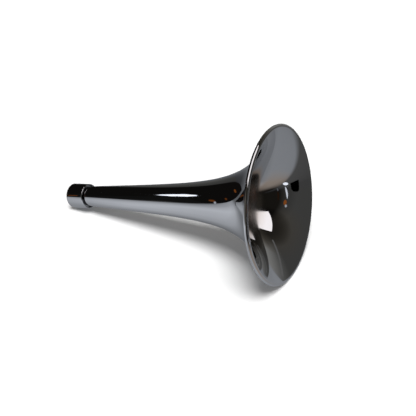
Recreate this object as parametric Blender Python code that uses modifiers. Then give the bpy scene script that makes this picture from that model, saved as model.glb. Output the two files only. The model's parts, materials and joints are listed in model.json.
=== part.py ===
"""Horn loudspeaker lying on its side.

A horn spun from sheet metal ends in a bead rolled over a wire. A threaded nipple is soldered
into its neck, and the collar that screws onto the nipple is the housing of a moving-coil driver.

Lengths are in metres. Every turned piece is drawn in the horn's own frame: radius from the
axis, and height along the axis from the collar's rear face at 0 towards the mouth.
"""
import math

import bmesh
import bpy
from mathutils import Matrix, Vector

MM = 0.001
SEGMENTS = 40            # sides of the horn, the nipple and the collar
INNER_SEGMENTS = 32      # sides of the pieces inside the collar
SMALL_SEGMENTS = 12      # sides of screws and drilled holes
SHARP_ANGLE = math.radians(35)

# Horn
SHEET = 0.9 * MM
NECK_RADIUS = 12.25 * MM         # outside of the neck at the collar's front face
NECK_TAPER = 0.046               # growth of the radius per length along the straight part
FLARE_LENGTH = 32.7 * MM         # length over which the flare grows by a factor of e
MOUTH_RADIUS = 79.5 * MM         # back surface of the sheet where the bead begins
MOUTH_HEIGHT = 286.7 * MM
NECK_END = 22.5 * MM             # rear end of the neck, inside the collar
FLARE_STEPS = 14
FLARE_CROWDING = 1.6             # above 1, the rings crowd together towards the mouth
RIM_WIRE_RADIUS = 1.28 * MM
CURL_RADIUS = 1.4 * MM           # inside of the sheet rolled over the wire
CURL_ANGLE = math.radians(270)
CURL_STEPS = 9

# Collar and its thread
COLLAR_RADIUS = 15.2 * MM
COLLAR_LENGTH = 25.6 * MM
COLLAR_EDGE = 0.7 * MM           # chamfer of the rear edge
LIP_EDGE = 0.3 * MM              # chamfer of the front edge
LIP_BORE = 14.35 * MM
BORE_RADIUS = 13.0 * MM          # rear bore that holds the motor
WEB_REAR = 15.3 * MM
WEB_FRONT = 16.8 * MM
WEB_BORE = 9.9 * MM
GROOVE_RADIUS = 13.7 * MM
GROOVE_HEIGHTS = (0.9 * MM, 1.9 * MM)
THREAD_PITCH = 1.5 * MM
THREAD_DEPTH = 0.25 * MM         # half of the height from root to crest
THREAD_ROWS = 6                  # rows of points for each turn
COLLAR_THREAD_RADIUS = 14.0 * MM
COLLAR_THREAD = (17.5 * MM, 22.5 * MM)
NIPPLE_THREAD_RADIUS = 13.8 * MM
NIPPLE_THREAD = (18.0 * MM, 22.0 * MM)

# Nipple in the neck
NIPPLE_REAR = 17.8 * MM
NIPPLE_FRONT = 22.35 * MM
NIPPLE_EDGE_RADIUS = 13.2 * MM
SPIGOT_END = 32.0 * MM
SPIGOT_WALL = 0.7 * MM
SOLDER_GAP = 0.1 * MM
GASKET_RADII = (10.0 * MM, 13.2 * MM)
GASKET_HEIGHTS = (16.85 * MM, 17.75 * MM)

# Motor, stacked in the rear bore
MOTOR_RADIUS = 12.8 * MM
PLATE_HEIGHTS = (1.95 * MM, 3.35 * MM)
SPACER_HEIGHTS = (3.45 * MM, 5.75 * MM)
YOKE_HEIGHTS = (5.85 * MM, 7.25 * MM, 10.6 * MM)
YOKE_BORE = 11.2 * MM
MAGNET_HEIGHTS = (7.35 * MM, 10.35 * MM)
MAGNET_RADIUS = 6.0 * MM
POLE_HEIGHTS = (10.45 * MM, 12.2 * MM)
POLE_RADIUS = 6.3 * MM
POLE_PLATE_HEIGHTS = (10.7 * MM, 12.2 * MM)
POLE_PLATE_BORE = 7.75 * MM
SEAT_HEIGHTS = (12.3 * MM, 12.95 * MM)
CLAMP_HEIGHTS = (13.3 * MM, 13.75 * MM)
SEAT_BORE = 10.4 * MM
FORMER_RADII = (6.6 * MM, 6.75 * MM)
FORMER_HEIGHTS = (9.3 * MM, 12.85 * MM)
WINDING_RADII = (6.85 * MM, 7.3 * MM)
WINDING_HEIGHTS = (10.3 * MM, 12.4 * MM)
FILM = 0.15 * MM                 # thickness of dome and surround
DOME_RADIUS = 6.9 * MM
DOME_BASE = 12.95 * MM
DOME_RISE = 1.55 * MM
SURROUND_RADII = (7.35 * MM, 10.2 * MM)
SURROUND_BASE = 13.05 * MM
SURROUND_RISE = 0.4 * MM

# Phase plug
PLUG_REAR = 13.85 * MM
PLUG_STEP = 15.2 * MM
PLUG_FRONT = 16.6 * MM
PLUG_BOSS = 9.7 * MM
PLUG_BOSS_EDGE = 0.4 * MM
PLUG_VALLEY = 15.6 * MM
PLUG_VALLEY_RADIUS = 7.0 * MM
PLUG_BULLET = 5.0 * MM
PLUG_TIP = 19.5 * MM
PLUG_HOLLOW_RADIUS = 7.4 * MM
PLUG_CLEARANCE = 0.75 * MM       # between the dome's underside and the hollow that follows it
PLUG_RELIEF = 0.35 * MM          # room in front of the surround
SOUND_HOLES = 10
SOUND_HOLE_RADIUS = 0.75 * MM
SOUND_HOLE_CIRCLE = 6.05 * MM

# Terminals and wires, one on each side of the axis
TERMINAL_OFFSET = 6.0 * MM
SCREW_HEAD_RADIUS = 1.9 * MM
SCREW_HEAD_EDGE = 0.2 * MM
SCREW_HEIGHTS = (1.1 * MM, 1.85 * MM, 5.5 * MM)
SLOT_SIZE = (5.0 * MM, 0.55 * MM, 0.8 * MM)
SCREW_RADIUS = 0.95 * MM
SCREW_HOLE_RADIUS = 1.1 * MM
NUT_HEIGHTS = (4.0 * MM, 5.2 * MM)
NUT_RADIUS = 2.3 * MM
LUG_HEIGHTS = (3.45 * MM, 3.85 * MM)
LUG_RADIUS = 2.1 * MM
LUG_TAIL = 3.6 * MM
LUG_TAIL_HALF_WIDTH = 0.9 * MM
WIRE_RADIUS = 0.4 * MM
WIRE_OFFSET = 9.4 * MM
WIRE_HOLE_RADIUS = 0.8 * MM
WIRE_START = 9.1 * MM            # on the lug's tail
WIRE_HEIGHTS = (4.4 * MM, 5.2 * MM, 12.5 * MM)
LEAD_RADIUS = 0.15 * MM
LEAD_START = (8.75 * MM, 12.45 * MM)    # radius and height at the feed wire
LEAD_END = (7.55 * MM, 12.55 * MM)      # and at the winding
LEAD_SLACK = 0.25 * MM
LEAD_STEPS = 6
DRILL_OVERRUN = 0.5 * MM

# Ring that holds the stack in the collar
RETAINER_HEIGHTS = (1.0 * MM, 1.8 * MM)
RETAINER_RADII = (11.9 * MM, 13.55 * MM)
RETAINER_GAP = math.radians(32)
RETAINER_EYE = math.radians(5)   # from each end of the ring to its eye
RETAINER_EYE_RADIUS = 0.45 * MM
RETAINER_STEPS = 28

COLOURS = {
    "chrome": ((0.80, 0.80, 0.81), 0.06, 1.0),
    "steel_wire": ((0.42, 0.42, 0.43), 0.40, 1.0),
    "brass": ((0.72, 0.52, 0.22), 0.30, 1.0),
    "solder_tin": ((0.66, 0.66, 0.66), 0.35, 1.0),
    "soft_iron": ((0.50, 0.50, 0.51), 0.38, 1.0),
    "magnet_alloy": ((0.30, 0.30, 0.31), 0.50, 1.0),
    "spring_steel": ((0.34, 0.34, 0.36), 0.32, 1.0),
    "aluminium": ((0.78, 0.78, 0.79), 0.28, 1.0),
    "gasket_rubber": ((0.06, 0.06, 0.06), 0.75, 0.0),
    "moulded_phenolic": ((0.09, 0.05, 0.03), 0.38, 0.0),
    "pressed_fibre": ((0.30, 0.14, 0.08), 0.70, 0.0),
    "treated_cloth": ((0.36, 0.27, 0.15), 0.80, 0.0),
    "former_paper": ((0.52, 0.40, 0.24), 0.85, 0.0),
    "enamelled_copper": ((0.52, 0.20, 0.08), 0.30, 0.6),
    "wire_sleeve": ((0.45, 0.05, 0.04), 0.60, 0.0),
}


def clear_scene():
    for item in list(bpy.data.objects):
        bpy.data.objects.remove(item, do_unlink=True)


def add_collection(name):
    collection = bpy.data.collections.new(name)
    bpy.context.scene.collection.children.link(collection)
    return collection


def material(name):
    """Principled material of one kind of stuff; pieces of the same stuff share it."""
    if name in bpy.data.materials:
        return bpy.data.materials[name]
    colour, roughness, metallic = COLOURS[name]
    made = bpy.data.materials.new(name)
    made.use_nodes = True
    made.diffuse_color = (*colour, 1.0)
    shader = made.node_tree.nodes["Principled BSDF"]
    shader.inputs["Base Color"].default_value = (*colour, 1.0)
    shader.inputs["Roughness"].default_value = roughness
    shader.inputs["Metallic"].default_value = metallic
    return made


def add_empty(name, parent=None):
    empty = bpy.data.objects.new(name, None)
    empty.empty_display_size = 20 * MM
    empty.parent = parent
    PART.objects.link(empty)
    return empty


def add_piece(name, data, stuff, parent, location=(0, 0, 0)):
    piece = bpy.data.objects.new(name, data)
    piece.location = location
    piece.parent = parent
    data.materials.append(material(stuff))
    PART.objects.link(piece)
    return piece


def runs_upwards(outline):
    """True when an outline in (radius, height) has its outer side running up."""
    following = outline[1:] + outline[:1]
    return sum(r0 * h1 - r1 * h0 for (r0, h0), (r1, h1) in zip(outline, following)) > 0


def turned_mesh(name, outline, segments):
    """Mesh of a (radius, height) outline turned about Z; one that meets the axis is left open."""
    if runs_upwards(outline):
        outline = outline[::-1]
    on_axis = [index for index, (radius, _) in enumerate(outline) if radius == 0.0]
    if on_axis:
        start = on_axis[0] if outline[on_axis[0] - 1][0] == 0.0 else on_axis[-1]
        outline = outline[start:] + outline[:start]
    edges = [(index, index + 1) for index in range(len(outline) - 1)]
    if not on_axis:
        edges.append((len(outline) - 1, 0))
    profile = bpy.data.meshes.new(name)
    profile.from_pydata([(radius, 0.0, height) for radius, height in outline], edges, [])
    lathe = bpy.data.objects.new(name, profile)
    bpy.context.scene.collection.objects.link(lathe)
    turn = lathe.modifiers.new("Turn", "SCREW")
    turn.steps = segments
    turn.render_steps = segments
    turn.use_merge_vertices = True
    turn.merge_threshold = 0.001 * MM
    graph = bpy.context.evaluated_depsgraph_get()
    mesh = bpy.data.meshes.new_from_object(lathe.evaluated_get(graph))
    bpy.data.objects.remove(lathe)
    bpy.data.meshes.remove(profile)
    mesh.name = name
    mesh.shade_smooth()
    mesh.set_sharp_from_angle(angle=SHARP_ANGLE)
    return mesh


def turned(name, outline, stuff, parent, location=(0, 0, 0), segments=INNER_SEGMENTS):
    return add_piece(name, turned_mesh(name, outline, segments), stuff, parent, location)


def ring_outline(inner, outer, bottom, top, edge=0.0):
    """Rectangle between two radii and two heights, with its outer edges chamfered."""
    if edge == 0.0:
        return [(outer, top), (outer, bottom), (inner, bottom), (inner, top)]
    return [(outer - edge, top), (outer, top - edge), (outer, bottom + edge),
            (outer - edge, bottom), (inner, bottom), (inner, top)]


def flat_piece(name, outlines, heights, stuff, parent, location=(0, 0, 0)):
    """Plate cut from sheet: closed (x, y) outlines, the later ones being holes in the first."""
    curve = bpy.data.curves.new(name, "CURVE")
    curve.dimensions = "2D"
    curve.fill_mode = "BOTH"
    curve.extrude = (heights[1] - heights[0]) / 2
    for outline in outlines:
        spline = curve.splines.new("POLY")
        spline.points.add(len(outline) - 1)
        spline.use_cyclic_u = True
        for point, (x, y) in zip(spline.points, outline):
            point.co = (x, y, 0.0, 1.0)
    middle = Vector(location) + Vector((0, 0, (heights[0] + heights[1]) / 2))
    return add_piece(name, curve, stuff, parent, middle)


def wire(name, points, radius, stuff, parent):
    """Round wire along a list of points."""
    curve = bpy.data.curves.new(name, "CURVE")
    curve.dimensions = "3D"
    curve.bevel_depth = radius
    curve.bevel_resolution = 2
    curve.use_fill_caps = True
    spline = curve.splines.new("POLY")
    spline.points.add(len(points) - 1)
    for point, position in zip(spline.points, points):
        point.co = (*position, 1.0)
    return add_piece(name, curve, stuff, parent)


def arc(radius, start, end, steps):
    """Points of a circle's arc about the origin, both ends included."""
    angles = [start + (end - start) * step / steps for step in range(steps + 1)]
    return [(radius * math.cos(angle), radius * math.sin(angle)) for angle in angles]


def circle(radius, segments=SMALL_SEGMENTS, centre=(0.0, 0.0)):
    points = arc(radius, 0.0, math.tau, segments)[:-1]
    return [(centre[0] + x, centre[1] + y) for x, y in points]


def cut(piece, name, cutter_mesh):
    """Take a cutter's shape out of a piece that shares the cutter's frame."""
    cutter = bpy.data.objects.new(name, cutter_mesh)
    cutter.parent = piece
    cutter.hide_render = True
    cutter.display_type = "WIRE"
    CUTTERS.objects.link(cutter)
    boolean = piece.modifiers.new(name, "BOOLEAN")
    boolean.operation = "DIFFERENCE"
    boolean.solver = "EXACT"
    boolean.object = cutter


def drill(piece, name, centres, radius, span):
    """Drill round holes parallel to the axis, through a span of heights and a little past it."""
    bottom, top = span[0] - DRILL_OVERRUN, span[1] + DRILL_OVERRUN
    drills = bmesh.new()
    for x, y in centres:
        middle = Matrix.Translation((x, y, (bottom + top) / 2))
        bmesh.ops.create_cone(drills, cap_ends=True, segments=SMALL_SEGMENTS, radius1=radius,
                              radius2=radius, depth=top - bottom, matrix=middle)
    mesh = bpy.data.meshes.new(name)
    drills.to_mesh(mesh)
    drills.free()
    cut(piece, name, mesh)


def cut_thread(piece, mean_radius, span, side):
    """Wave a plain wall into a right-hand round thread that fades out at both ends.

    side is 1 where the wall fades outwards, as inside the collar, and -1 where it fades inwards.
    """
    for vertex in piece.data.vertices:
        x, y, height = vertex.co
        if abs(math.hypot(x, y) - mean_radius) > 0.01 * MM:
            continue
        from_end = min(height - span[0], span[1] - height)
        fade = min(1.0, max(0.0, from_end / THREAD_PITCH))
        turn_phase = math.cos(math.tau * height / THREAD_PITCH - math.atan2(y, x))
        radius = mean_radius + THREAD_DEPTH * (fade * turn_phase + (1.0 - fade) * side)
        vertex.co = (x * radius / mean_radius, y * radius / mean_radius, height)


def thread_rows(mean_radius, span):
    """Points of a plain wall, bottom to top, close enough together to carry a thread."""
    rows = round((span[1] - span[0]) / THREAD_PITCH * THREAD_ROWS)
    return [(mean_radius, span[0] + (span[1] - span[0]) * row / rows) for row in range(rows + 1)]


def flare_radius(height):
    """Radius of the horn's back surface: a slight cone with an exponential flare on it."""
    cone = NECK_RADIUS + NECK_TAPER * (height - COLLAR_LENGTH)
    mouth_cone = NECK_RADIUS + NECK_TAPER * (MOUTH_HEIGHT - COLLAR_LENGTH)
    return cone + (MOUTH_RADIUS - mouth_cone) * math.exp((height - MOUTH_HEIGHT) / FLARE_LENGTH)


def flare_slope(height):
    """Angle between the horn's wall and its axis."""
    step = 0.01 * MM
    rise = flare_radius(height + step) - flare_radius(height - step)
    return math.atan2(rise, 2 * step)


def flare_point(height, inset=0.0):
    """Point of the horn's wall, moved into the horn at right angles to the back surface."""
    slope = flare_slope(height)
    return (flare_radius(height) - inset * math.cos(slope), height + inset * math.sin(slope))


def horn_outline():
    """Sheet from the neck to the mouth, where it rolls back over the rim wire."""
    fractions = [1.0 - (1.0 - step / FLARE_STEPS) ** FLARE_CROWDING
                 for step in range(FLARE_STEPS + 1)]
    heights = [NECK_END + (MOUTH_HEIGHT - NECK_END) * fraction for fraction in fractions]
    back = [flare_point(height) for height in heights]
    inside = [flare_point(height, SHEET) for height in reversed(heights)]
    centre_radius, centre_height = curl_centre()
    first = flare_slope(MOUTH_HEIGHT) - math.pi / 2
    inner_curl = arc(CURL_RADIUS, first, first + CURL_ANGLE, CURL_STEPS)[1:]
    outer_curl = arc(CURL_RADIUS + SHEET, first + CURL_ANGLE, first, CURL_STEPS)[:-1]
    curl = [(centre_radius + rise, centre_height + run) for run, rise in inner_curl + outer_curl]
    return back + curl + inside


def curl_centre():
    """Middle of the rim wire's section, on the back side of the sheet."""
    return flare_point(MOUTH_HEIGHT, -CURL_RADIUS)


def rim_wire_outline():
    centre_radius, centre_height = curl_centre()
    return [(centre_radius + x, centre_height + y) for x, y in circle(RIM_WIRE_RADIUS, 8)]


def collar_outline():
    outside = [
        (LIP_BORE, COLLAR_LENGTH),
        (COLLAR_RADIUS - LIP_EDGE, COLLAR_LENGTH),
        (COLLAR_RADIUS, COLLAR_LENGTH - LIP_EDGE),
        (COLLAR_RADIUS, COLLAR_EDGE),
        (COLLAR_RADIUS - COLLAR_EDGE, 0.0),
    ]
    rear_bore = [
        (BORE_RADIUS, 0.0),
        (BORE_RADIUS, GROOVE_HEIGHTS[0]),
        (GROOVE_RADIUS, GROOVE_HEIGHTS[0]),
        (GROOVE_RADIUS, GROOVE_HEIGHTS[1]),
        (BORE_RADIUS, GROOVE_HEIGHTS[1]),
        (BORE_RADIUS, WEB_REAR),
        (WEB_BORE, WEB_REAR),
        (WEB_BORE, WEB_FRONT),
        (LIP_BORE, WEB_FRONT),
        (LIP_BORE, COLLAR_THREAD[0] - 0.2 * MM),
    ]
    return outside + rear_bore + thread_rows(COLLAR_THREAD_RADIUS, COLLAR_THREAD)


def spigot_radius(height):
    """Outside of the spigot, a solder gap inside the neck."""
    return flare_radius(height) - SHEET - SOLDER_GAP


def nipple_outline():
    root = NIPPLE_THREAD_RADIUS - THREAD_DEPTH
    return [
        (spigot_radius(SPIGOT_END) - SPIGOT_WALL, SPIGOT_END),
        (spigot_radius(SPIGOT_END), SPIGOT_END),
        (spigot_radius(NIPPLE_FRONT), NIPPLE_FRONT),
        (NIPPLE_EDGE_RADIUS, NIPPLE_FRONT),
        (root, NIPPLE_THREAD[1] + 0.1 * MM),
        *thread_rows(NIPPLE_THREAD_RADIUS, NIPPLE_THREAD)[::-1],
        (root, NIPPLE_THREAD[0] - 0.05 * MM),
        (NIPPLE_EDGE_RADIUS, NIPPLE_REAR),
        (WEB_BORE, NIPPLE_REAR),
    ]


def dome_height(radius, lift=0.0):
    """Height of the dome's underside at a radius, raised by a lift."""
    curvature = (DOME_RADIUS ** 2 + DOME_RISE ** 2) / (2 * DOME_RISE)
    drop = curvature - math.sqrt(curvature ** 2 - radius ** 2)
    return DOME_BASE + DOME_RISE - drop + lift


def phase_plug_outline():
    bullet = [
        (PLUG_BULLET * math.sin(angle), PLUG_VALLEY + (PLUG_TIP - PLUG_VALLEY) * math.cos(angle))
        for angle in (math.pi / 2 * step / 4 for step in range(1, 5))
    ]
    hollow = [PLUG_HOLLOW_RADIUS * (1 - step / 3) for step in range(4)]
    under = [(radius, dome_height(min(radius, DOME_RADIUS), PLUG_CLEARANCE)) for radius in hollow]
    under[-1] = (0.0, under[-1][1])
    return [
        (0.0, PLUG_TIP),
        *bullet,
        (PLUG_VALLEY_RADIUS, PLUG_VALLEY),
        (PLUG_BOSS - PLUG_BOSS_EDGE, PLUG_FRONT),
        (PLUG_BOSS, PLUG_FRONT),
        (PLUG_BOSS, PLUG_STEP),
        (MOTOR_RADIUS, PLUG_STEP),
        (MOTOR_RADIUS, PLUG_REAR),
        (SEAT_BORE, PLUG_REAR),
        (SURROUND_RADII[1], PLUG_REAR + PLUG_RELIEF),
        (PLUG_HOLLOW_RADIUS + 0.1 * MM, PLUG_REAR + PLUG_RELIEF),
        *under,
    ]


def dome_outline():
    steps = 3
    radii = [DOME_RADIUS * step / steps for step in range(steps + 1)]
    top = [(radius, dome_height(radius, FILM)) for radius in radii]
    bottom = [(radius, dome_height(radius)) for radius in reversed(radii)]
    rim = SURROUND_RADII[0] - 0.1 * MM
    return top + [(rim, DOME_BASE + FILM), (rim, DOME_BASE)] + bottom


def surround_outline():
    """Half roll between the dome and the flat rim that is clamped."""
    inner, outer = SURROUND_RADII
    middle = (inner + outer) / 2
    half = (outer - inner) / 2
    angles = [math.pi * step / 4 for step in range(5)]
    roll = [(middle - half * math.cos(angle), SURROUND_RISE * math.sin(angle)) for angle in angles]
    rim = MOTOR_RADIUS - 0.1 * MM
    under = [(radius, SURROUND_BASE + rise) for radius, rise in roll] + [(rim, SURROUND_BASE)]
    over = [(radius, height + FILM) for radius, height in reversed(under)]
    return under + over


def yoke_outline():
    bottom, floor, top = YOKE_HEIGHTS
    return [
        (0.0, floor),
        (YOKE_BORE, floor),
        (YOKE_BORE, top),
        (MOTOR_RADIUS, top),
        (MOTOR_RADIUS, bottom),
        (0.0, bottom),
    ]


def disc_outline(radius, bottom, top):
    return [(0.0, top), (radius, top), (radius, bottom), (0.0, bottom)]


def build_horn(horn):
    turned("horn_flare", horn_outline(), "chrome", horn, segments=SEGMENTS)
    turned("rim_wire", rim_wire_outline(), "steel_wire", horn, segments=SEGMENTS)
    nipple = turned("throat_nipple", nipple_outline(), "chrome", horn, segments=SEGMENTS)
    cut_thread(nipple, NIPPLE_THREAD_RADIUS, NIPPLE_THREAD, -1)


def build_collar(driver):
    collar = turned("driver_housing", collar_outline(), "chrome", driver, segments=SEGMENTS)
    cut_thread(collar, COLLAR_THREAD_RADIUS, COLLAR_THREAD, 1)


def build_gasket(seat):
    turned("throat_gasket", ring_outline(*GASKET_RADII, *GASKET_HEIGHTS), "gasket_rubber", seat)


def build_motor(driver):
    yoke = turned("yoke_cup", yoke_outline(), "soft_iron", driver)
    turned("magnet", disc_outline(MAGNET_RADIUS, *MAGNET_HEIGHTS), "magnet_alloy", driver)
    turned("pole_piece", disc_outline(POLE_RADIUS, *POLE_HEIGHTS), "soft_iron", driver)
    plate_outline = ring_outline(POLE_PLATE_BORE, MOTOR_RADIUS, *POLE_PLATE_HEIGHTS)
    plate = turned("front_pole_plate", plate_outline, "soft_iron", driver)
    seat = ring_outline(SEAT_BORE, MOTOR_RADIUS, *SEAT_HEIGHTS)
    turned("diaphragm_seat_ring", seat, "pressed_fibre", driver)
    clamp = ring_outline(SEAT_BORE, MOTOR_RADIUS, *CLAMP_HEIGHTS)
    turned("front_clamp_ring", clamp, "aluminium", driver)
    wire_holes = [(0.0, WIRE_OFFSET), (0.0, -WIRE_OFFSET)]
    drill(yoke, "yoke_wire_holes", wire_holes, WIRE_HOLE_RADIUS, YOKE_HEIGHTS[:2])
    drill(plate, "plate_wire_holes", wire_holes, WIRE_HOLE_RADIUS, POLE_PLATE_HEIGHTS)


def build_phase_plug(driver):
    plug = turned("phase_plug", phase_plug_outline(), "aluminium", driver)
    angles = [math.tau * index / SOUND_HOLES for index in range(SOUND_HOLES)]
    centres = [(SOUND_HOLE_CIRCLE * math.cos(a), SOUND_HOLE_CIRCLE * math.sin(a)) for a in angles]
    drill(plug, "sound_holes", centres, SOUND_HOLE_RADIUS, (PLUG_REAR, PLUG_FRONT))


def build_diaphragm(driver, diaphragm):
    turned("diaphragm_dome", dome_outline(), "aluminium", diaphragm)
    turned("voice_coil_former", ring_outline(*FORMER_RADII, *FORMER_HEIGHTS), "former_paper", diaphragm)
    winding = ring_outline(*WINDING_RADII, *WINDING_HEIGHTS)
    turned("voice_coil_winding", winding, "enamelled_copper", diaphragm)
    turned("diaphragm_surround", surround_outline(), "treated_cloth", driver)


def build_terminals(driver):
    spacer = ring_outline(YOKE_BORE, MOTOR_RADIUS, *SPACER_HEIGHTS)
    turned("rear_spacer", spacer, "pressed_fibre", driver)
    disc = disc_outline(MOTOR_RADIUS, *PLATE_HEIGHTS)
    plate = turned("terminal_plate", disc, "moulded_phenolic", driver)
    places = [(0.0, TERMINAL_OFFSET), (0.0, -TERMINAL_OFFSET)]
    drill(plate, "terminal_holes", places, SCREW_HOLE_RADIUS, PLATE_HEIGHTS)
    for number, (x, y) in enumerate(places, start=1):
        build_terminal(driver, number, (x, y, 0.0), math.copysign(1.0, y))


def build_terminal(driver, number, place, side):
    """Slotted screw, nut, soldering lug, feed wire and coil lead of one terminal."""
    head, shoulder, end = SCREW_HEIGHTS
    outline = [(0.0, end), (SCREW_RADIUS, end), (SCREW_RADIUS, shoulder),
               (SCREW_HEAD_RADIUS, shoulder), (SCREW_HEAD_RADIUS, head + SCREW_HEAD_EDGE),
               (SCREW_HEAD_RADIUS - SCREW_HEAD_EDGE, head), (0.0, head)]
    screw = turned(f"terminal_screw_{number}", outline, "brass", driver, place, SMALL_SEGMENTS)
    slot = bmesh.new()
    bmesh.ops.create_cube(slot, size=1.0)
    bmesh.ops.scale(slot, vec=SLOT_SIZE, verts=slot.verts)
    bmesh.ops.translate(slot, vec=(0, 0, head), verts=slot.verts)
    slot_mesh = bpy.data.meshes.new(f"screw_slot_{number}")
    slot.to_mesh(slot_mesh)
    slot.free()
    cut(screw, slot_mesh.name, slot_mesh)

    hexagon = circle(NUT_RADIUS, 6)
    flat_piece(f"terminal_nut_{number}", [hexagon, circle(SCREW_HOLE_RADIUS)], NUT_HEIGHTS,
               "brass", driver, place)
    half_turn = arc(LUG_RADIUS, math.pi, math.tau, 8)
    tail = [(LUG_TAIL_HALF_WIDTH, LUG_TAIL), (-LUG_TAIL_HALF_WIDTH, LUG_TAIL)]
    lug = [(x, side * y) for x, y in half_turn + tail]
    hole = circle(SCREW_HOLE_RADIUS)
    flat_piece(f"solder_lug_{number}", [lug, hole], LUG_HEIGHTS, "solder_tin", driver, place)

    feed = [(0.0, side * radius, height)
            for radius, height in zip((WIRE_START, WIRE_OFFSET, WIRE_OFFSET), WIRE_HEIGHTS)]
    wire(f"feed_wire_{number}", feed, WIRE_RADIUS, "wire_sleeve", driver)
    lead = [(0.0, side * radius, height) for radius, height in lead_route()]
    wire(f"coil_lead_{number}", lead, LEAD_RADIUS, "enamelled_copper", driver)


def lead_route():
    """Slack loop of a coil lead, from the feed wire's end to the winding: (radius, height)."""
    start, end, slack = Vector(LEAD_START), Vector(LEAD_END), Vector((0.0, LEAD_SLACK))
    shares = [step / LEAD_STEPS for step in range(LEAD_STEPS + 1)]
    return [start.lerp(end, share) + slack * math.sin(math.pi * share) for share in shares]


def build_retainer(driver):
    """Snap ring with an eye at each end, in the collar's groove."""
    inner, outer = RETAINER_RADII
    first = RETAINER_GAP / 2
    last = math.tau - first
    outline = arc(outer, first, last, RETAINER_STEPS) + arc(inner, last, first, RETAINER_STEPS)
    middle = (inner + outer) / 2
    eyes = [(middle * math.cos(angle), middle * math.sin(angle))
            for angle in (first + RETAINER_EYE, last - RETAINER_EYE)]
    holes = [circle(RETAINER_EYE_RADIUS, 8, eye) for eye in eyes]
    flat_piece("retaining_ring", [outline, *holes], RETAINER_HEIGHTS, "spring_steel", driver)


def lie_down(horn):
    """Lay the assembly on its mouth bead and the collar's rear edge, centred over the origin."""
    flat = math.cos(math.pi / SEGMENTS)
    centre_radius, centre_height = curl_centre()
    bead = Vector((centre_height, (centre_radius + CURL_RADIUS + SHEET) * flat))
    edge = Vector((COLLAR_EDGE, COLLAR_RADIUS * flat))
    along = bead - edge
    tilt = math.atan2(along.y, along.x)
    half_facet = Matrix.Rotation(math.pi / SEGMENTS, 4, "Z")
    horn.matrix_world = Matrix.Rotation(math.pi / 2 - tilt, 4, "Y") @ half_facet
    bpy.context.view_layer.update()
    graph = bpy.context.evaluated_depsgraph_get()
    corners = []
    for name in ("horn_flare", "driver_housing"):
        piece = bpy.data.objects[name].evaluated_get(graph)
        corners += [piece.matrix_world @ vertex.co for vertex in piece.data.vertices]
    low = Vector([min(corner[axis] for corner in corners) for axis in range(3)])
    high = Vector([max(corner[axis] for corner in corners) for axis in range(3)])
    middle = (low + high) / 2
    horn.matrix_world = Matrix.Translation((-middle.x, -middle.y, -low.z)) @ horn.matrix_world


def main():
    horn = add_empty("horn_axis")
    seat = add_empty("draw_axis", horn)
    driver = add_empty("driver_axis", seat)
    diaphragm = add_empty("diaphragm_axis", driver)
    build_horn(horn)
    build_gasket(seat)
    build_collar(driver)
    build_motor(driver)
    build_phase_plug(driver)
    build_diaphragm(driver, diaphragm)
    build_terminals(driver)
    build_retainer(driver)
    lie_down(horn)


clear_scene()
PART = add_collection("horn_loudspeaker")
CUTTERS = add_collection("cutters")
main()
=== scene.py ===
"""Looks of the horn loudspeaker.

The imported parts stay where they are. The pieces that can be seen are made again as fine turned
meshes, and every piece gets a node material. All turned pieces are drawn in the horn's own frame,
in metres: radius from the axis, and height along it from the collar's rear face towards the mouth.
The bright metal shows what stands round it, so most of the stage is made for its reflections only.
"""
import json
import math

import bmesh
import bpy
from mathutils import Matrix, Vector


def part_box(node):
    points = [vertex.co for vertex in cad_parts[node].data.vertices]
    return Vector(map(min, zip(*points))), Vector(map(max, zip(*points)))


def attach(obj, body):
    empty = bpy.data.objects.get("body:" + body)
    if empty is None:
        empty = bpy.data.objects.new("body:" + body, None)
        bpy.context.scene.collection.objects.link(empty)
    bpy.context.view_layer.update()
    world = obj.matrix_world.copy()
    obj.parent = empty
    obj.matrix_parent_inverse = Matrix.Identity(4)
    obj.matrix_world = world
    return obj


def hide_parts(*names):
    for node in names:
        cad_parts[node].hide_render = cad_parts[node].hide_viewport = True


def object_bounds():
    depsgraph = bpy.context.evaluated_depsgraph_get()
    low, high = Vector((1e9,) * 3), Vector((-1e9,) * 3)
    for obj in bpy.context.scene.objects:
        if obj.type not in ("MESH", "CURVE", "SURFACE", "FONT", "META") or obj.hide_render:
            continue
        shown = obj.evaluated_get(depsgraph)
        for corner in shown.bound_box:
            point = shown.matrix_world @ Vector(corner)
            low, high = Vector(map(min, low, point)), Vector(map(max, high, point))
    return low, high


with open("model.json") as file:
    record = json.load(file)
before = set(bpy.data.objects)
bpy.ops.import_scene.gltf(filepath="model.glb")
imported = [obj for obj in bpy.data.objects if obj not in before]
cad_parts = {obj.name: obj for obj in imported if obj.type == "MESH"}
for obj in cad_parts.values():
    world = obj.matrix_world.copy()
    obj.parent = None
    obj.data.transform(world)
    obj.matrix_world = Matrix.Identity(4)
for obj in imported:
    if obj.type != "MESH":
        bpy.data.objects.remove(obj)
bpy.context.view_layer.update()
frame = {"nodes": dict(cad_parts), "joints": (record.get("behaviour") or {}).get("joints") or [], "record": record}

MM = 0.001
TINY = 0.001 * MM                # shorter than this, a distance counts as none
SHARP = math.radians(32)         # faces that meet at more than this have an edge between them

# Horn
SHEET = 0.9 * MM
NECK_RADIUS = 12.25 * MM
NECK_TAPER = 0.046
FLARE_LENGTH = 32.7 * MM
MOUTH_RADIUS = 79.5 * MM
MOUTH_HEIGHT = 286.7 * MM
NECK_END = 22.5 * MM
CURL_RADIUS = 1.4 * MM
CURL_ANGLE = math.radians(270)
RIM_WIRE_RADIUS = 1.28 * MM
WALL_ROW = 1.9 * MM              # longest distance between two rows of the wall's points
CURL_ROW = 0.2 * MM              # distance between the last rows, where the rim curls
ROW_GROWTH = 0.12                # growth of the distance with the distance from the rim
# Below the first of these heights the inside's colour is also painted darker and browner, as shade.
BORE_DULL = 234 * MM             # the inside is dull below this height,
BORE_BRIGHT = 253 * MM           # and bright above this one

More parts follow.
